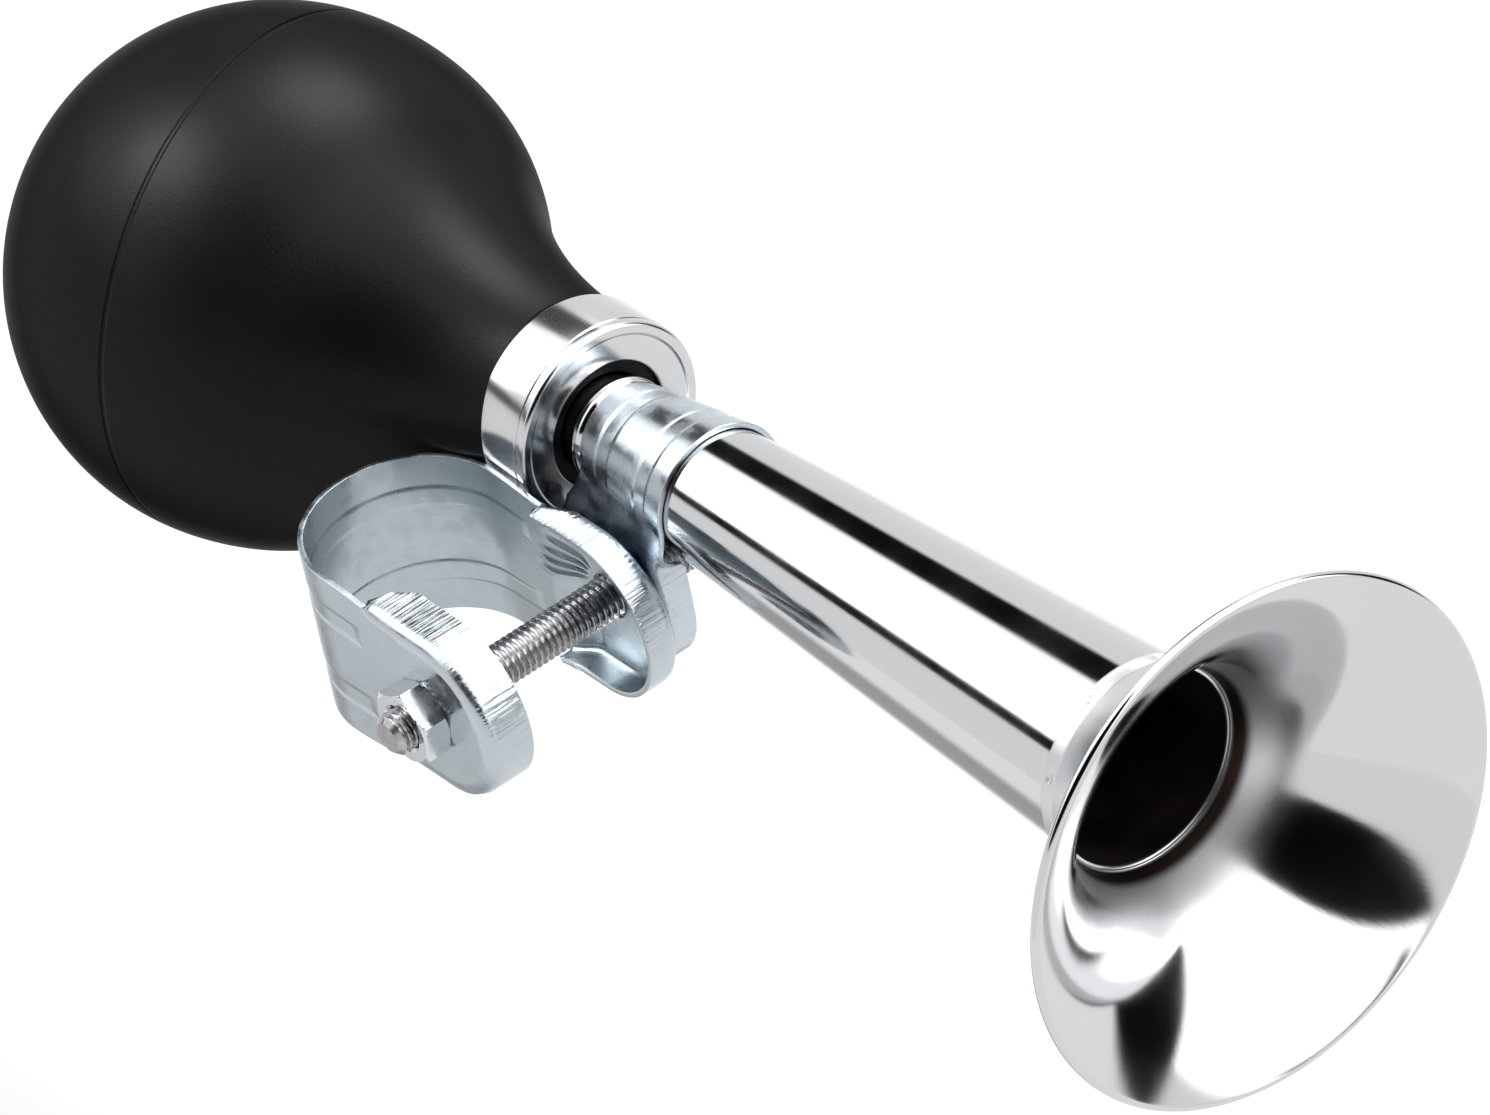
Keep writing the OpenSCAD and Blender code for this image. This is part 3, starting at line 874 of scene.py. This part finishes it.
def zinc_material(name, color, roughness=0.27, flange=None, painted_shade=False):
    """Bright zinc plate: bluish, with a fine orange-peel grain, a cloudy sheen and puckers on its flanges.

    flange is the way that the flanged end lies in and the place along it where the flange starts."""
    mat, tree, shader = principled(name, color, 1, roughness)
    coords = object_place(tree)
    fine = add_noise(tree, 3200, 3, coords)
    broad = add_noise(tree, 420, 4, coords)
    cloud = add_noise(tree, 90, 3, coords)
    dull, bright = tuple(c * 0.93 for c in color), tuple(min(c * 1.06, 1) for c in color)
    tone = ramp(tree, cloud, [(0.3, dull), (0.7, bright)])
    # Painted shade on the stem strap's near tail where it faces the other strap
    if painted_shade:
        tone = with_painted_shade(tree, coords, tone)
    tree.links.new(tone, shader.inputs["Base Color"])
    rough = map_range(tree, broad, 0.35, 0.7, roughness - 0.07, roughness + 0.08)
    tree.links.new(rough, shader.inputs["Roughness"])
    first = add_bump(tree, shader, fine, 0.00001, 0.5)
    second = add_bump(tree, shader, broad, 0.00002, 0.5, first)
    if flange:
        add_bump(tree, shader, pucker_height(tree, coords, *flange), 0.00014, 1.0, second)
    return mat


def steel_material():
    """Grey thread steel with small stains."""
    mat, tree, shader = principled("thread_steel", (0.38, 0.38, 0.39), 1, 0.25)
    stain = add_noise(tree, 700, 4)
    tone = ramp(tree, stain, [(0.3, (0.32, 0.32, 0.33)), (0.7, (0.44, 0.44, 0.45))])
    tree.links.new(tone, shader.inputs["Base Color"])
    tree.links.new(map_range(tree, stain, 0.3, 0.7, 0.18, 0.3), shader.inputs["Roughness"])
    return mat


def brass_material():
    """Dull brass of the reed inside the bulb."""
    mat, tree, shader = principled("reed_brass", (0.62, 0.45, 0.18), 1, 0.35)
    stain = add_noise(tree, 500, 4)
    tone = ramp(tree, stain, [(0.3, (0.5, 0.35, 0.13)), (0.7, (0.68, 0.5, 0.21))])
    tree.links.new(tone, shader.inputs["Base Color"])
    return mat


# Assembly

def dress(obj, mat, body, slot_name, *nodes):
    """Gives a piece its material, its body and the nodes it stands for."""
    obj.data.materials.clear()
    obj.data.materials.append(mat)
    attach(obj, body)
    if nodes:
        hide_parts(*nodes)
    return obj


def line_inside(obj, mat):
    """Gives the faces that look at the horn's axis a material of their own."""
    obj.data.materials.append(mat)
    axis = Vector((0, HORN_Y * MM, HORN_Z * MM))
    for poly in obj.data.polygons:
        out = poly.center - axis
        if poly.normal.y * out.y + poly.normal.z * out.z < -0.5 * math.hypot(out.y, out.z):
            poly.material_index = 1


def build():
    """Makes and dresses every piece."""
    rubber = rubber_material()
    chrome = chrome_material("chrome")
    satin = chrome_material("satin_chrome", 0.15)
    spun = chrome_material("spun_chrome", deep=0.27)
    bar_zinc = zinc_material("bar_strap_zinc", BAR_ZINC, flange=((1, 0, 0), NEAR_FLANGE[0]))
    # Darker zinc for the bar strap's inner side, a painted shade
    shaded_inner_zinc = zinc_material("inner_strap_shaded_zinc", SHADED_INNER_ZINC, 0.3)
    stem_flange = ((0, 0, -1), -HORN_Z + STEM_FLANGE_FROM)
    # The stem strap's zinc has a painted shade on its near tail
    stem_zinc = zinc_material("stem_strap_zinc", STEM_ZINC, flange=stem_flange, painted_shade=True)
    bright = zinc_material("nut_zinc", NUT_ZINC, 0.15)
    bare_shaded = bare_shaded_material()
    steel = steel_material()
    brass = brass_material()
    bulb = make_bulb()
    bulb.data.materials.append(rubber)
    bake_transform(bulb)
    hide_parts("bulb")
    dress(make_collar(), satin, "horn", "chrome", "bulb_collar")
    barrel = dress(make_barrel(), chrome, "horn", "chrome", "barrel")
    # The barrel's inward faces get bare sheet, darkened to near black as painted shade
    line_inside(barrel, bare_shaded)
    dress(make_bell(), spun, "horn", "chrome", "bell")
    strap = dress(make_bar_clamp(), bar_zinc, "bar_bracket", "zinc", "bar_clamp")
    strap.data.materials.append(shaded_inner_zinc)
    dress(make_stem_clamp(), stem_zinc, "stem_bracket", "zinc", "stem_clamp")
    shank, head = make_bolt()
    dress(shank, steel, "bolt", "steel", "clamp_bolt")
    dress(head, steel, "bolt", "steel", "clamp_bolt")
    dress(make_nut(), bright, "nut", "zinc", "clamp_nut")
    for name in ("reed_body", "reed_tongue", "reed_wedge"):
        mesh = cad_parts[name].data
        mesh.materials.clear()
        mesh.materials.append(brass)


# Studio

def direction(azimuth, elevation):
    """A unit vector from angles in degrees."""
    a, e = math.radians(azimuth), math.radians(elevation)
    return Vector((math.cos(e) * math.cos(a), math.cos(e) * math.sin(a), math.sin(e)))


def patch(tree, way, edges):
    """1 inside all the edges, each a (normal, inner soft width, offset), and 0 outside."""
    mask = None
    for normal, soft, offset in edges:
        share = dot(tree, way, Vector(normal).normalized())
        side = map_range(tree, share, offset - soft, offset + soft, 0, 1)
        mask = side if mask is None else math_node(tree, "MULTIPLY", mask, side)
    return mask


def window(azimuth, elevation, wide, high, turn=0.0, soft=0.03):
    """The four edges of a soft-sided window in the sky; wide and high are half angles in degrees."""
    middle = direction(azimuth, elevation)
    side = Vector((0, 0, 1)).cross(middle).normalized()
    top = middle.cross(side)
    c, s = math.cos(math.radians(turn)), math.sin(math.radians(turn))
    side, top = side * c + top * s, top * c - side * s
    w, h = math.sin(math.radians(wide)), math.sin(math.radians(high))
    cw, ch = math.cos(math.radians(wide)), math.cos(math.radians(high))
    return [(middle * w + side * cw, soft, 0), (middle * w - side * cw, soft, 0),
            (middle * h + top * ch, soft, 0), (middle * h - top * ch, soft, 0)]


STUDIO = [
    # Light box to the right of the camera
    ([((0.09, 0.97, 0.22), 0.05, 0.0), ((0, 0, 1), 0.03, -0.06), ((0.98, -0.17, 0), 0.05, -0.05)], 2.0),
    (window(39, 31, 16, 14, soft=0.1), 6.5),
    # Light boxes behind on the left and on the right
    (window(-158, 32, 17, 15), 2.8),
    (window(-146, 56, 10, 9, soft=0.06), 22.0),
    (window(104, 52, 16, 14, soft=0.08), 10.5),
    # Dark room behind the camera
    ([((0.075, 0.268, 0.961), 0.03, -0.02), ((-0.0735, -0.973, -0.221), 0.03, -0.012),
      ((0.996, -0.087, 0), 0.05, 0.0), ((0, 0, -1), 0.03, -0.95)], DARK),
    # Dark stand at the right
    ([((-0.788, 0.484, -0.380), 0.03, -0.01), ((0, 0, 1), 0.03, -0.31), ((0, 0, -1), 0.03, -0.5),
      ((0.995, -0.105, 0), 0.04, 0.0)], DARK),
    # Dark line between the table and the light box
    ([((0, 0, 1), 0.01, -0.01), ((0, 0, -1), 0.015, -0.035), ((-0.03, 1, 0), 0.03, 0.0),
      ((0.5, -0.866, 0), 0.06, 0.0)], DARK),
    # Dark gap between the roof and the back wall
    (window(155, 31.5, 12, 12.5, turn=28, soft=0.04), DARK),
    # Dark line under the left light box
    (window(-142, 14, 22, 4, soft=0.015), DARK),
]


def make_floor():
    """A pale floor well below the object, which gives off light and has a soft shade painted on it."""
    bpy.ops.mesh.primitive_circle_add(vertices=96, radius=FLOOR_SIZE, fill_type="NGON",
                                      location=(0, 0, FLOOR_Z))
    floor = bpy.context.object
    floor.name = "floor"
    mat, tree, shader = principled("floor_white", (0.01, 0.01, 0.01), 0, 0.9)
    shader.inputs["Emission Color"].default_value = (1, 1, 1, 1)
    place = tree.nodes.new("ShaderNodeMapping")
    place.inputs["Location"].default_value = (-SHADE_X / SHADE_WIDE, -SHADE_Y / SHADE_DEEP, 0)
    place.inputs["Scale"].default_value = (1 / SHADE_WIDE, 1 / SHADE_DEEP, 1)
    tree.links.new(object_place(tree), place.inputs["Vector"])
    far = vector_node(tree, "LENGTH", place.outputs["Vector"])
    light = map_range(tree, far, 0.35, 1.0, 1 - SHADE_DEPTH, 1)
    tree.links.new(light, shader.inputs["Emission Strength"])
    floor.data.materials.append(mat)


def make_world():
    """A studio of light boxes and dark areas, set by direction, which the camera sees as plain white."""
    world = bpy.data.worlds.new("studio")
    bpy.context.scene.world = world
    world.use_nodes = True
    tree = world.node_tree
    way = tree.nodes.new("ShaderNodeTexCoord").outputs["Generated"]
    up = dot(tree, way, (0, 0, 1))
    level = map_range(tree, up, ROOF_FROM, ROOF_TO, WALL_LEVEL, ROOF_LEVEL)

    def lay(mask, value):
        """Lays a level over the present one where the mask is 1."""
        nonlocal level
        gain = math_node(tree, "SUBTRACT", value, level)
        level = math_node(tree, "ADD", level, math_node(tree, "MULTIPLY", mask, gain))

    for edges, value in STUDIO:
        lay(patch(tree, way, edges), value)
    back = tree.nodes["Background"]
    back.inputs["Color"].default_value = (1, 1, 1, 1)
    lay(tree.nodes.new("ShaderNodeLightPath").outputs["Is Camera Ray"], WALL_LEVEL)
    tree.links.new(level, back.inputs["Strength"])


def make_camera():
    """The camera at the photograph's place."""
    data = bpy.data.cameras.new("camera")
    data.lens = LENS
    data.sensor_width = SENSOR
    data.sensor_fit = "HORIZONTAL"
    data.clip_end = 20
    obj = bpy.data.objects.new("camera", data)
    axes = Matrix((CAMERA_RIGHT, CAMERA_UP, CAMERA_BACK)).transposed().to_4x4()
    axes.translation = Vector(CAMERA_PLACE) * MM
    obj.matrix_world = axes
    bpy.context.scene.collection.objects.link(obj)
    bpy.context.scene.camera = obj


make_camera()
build()
make_floor()
make_world()
bpy.context.scene.view_settings.view_transform = "Standard"
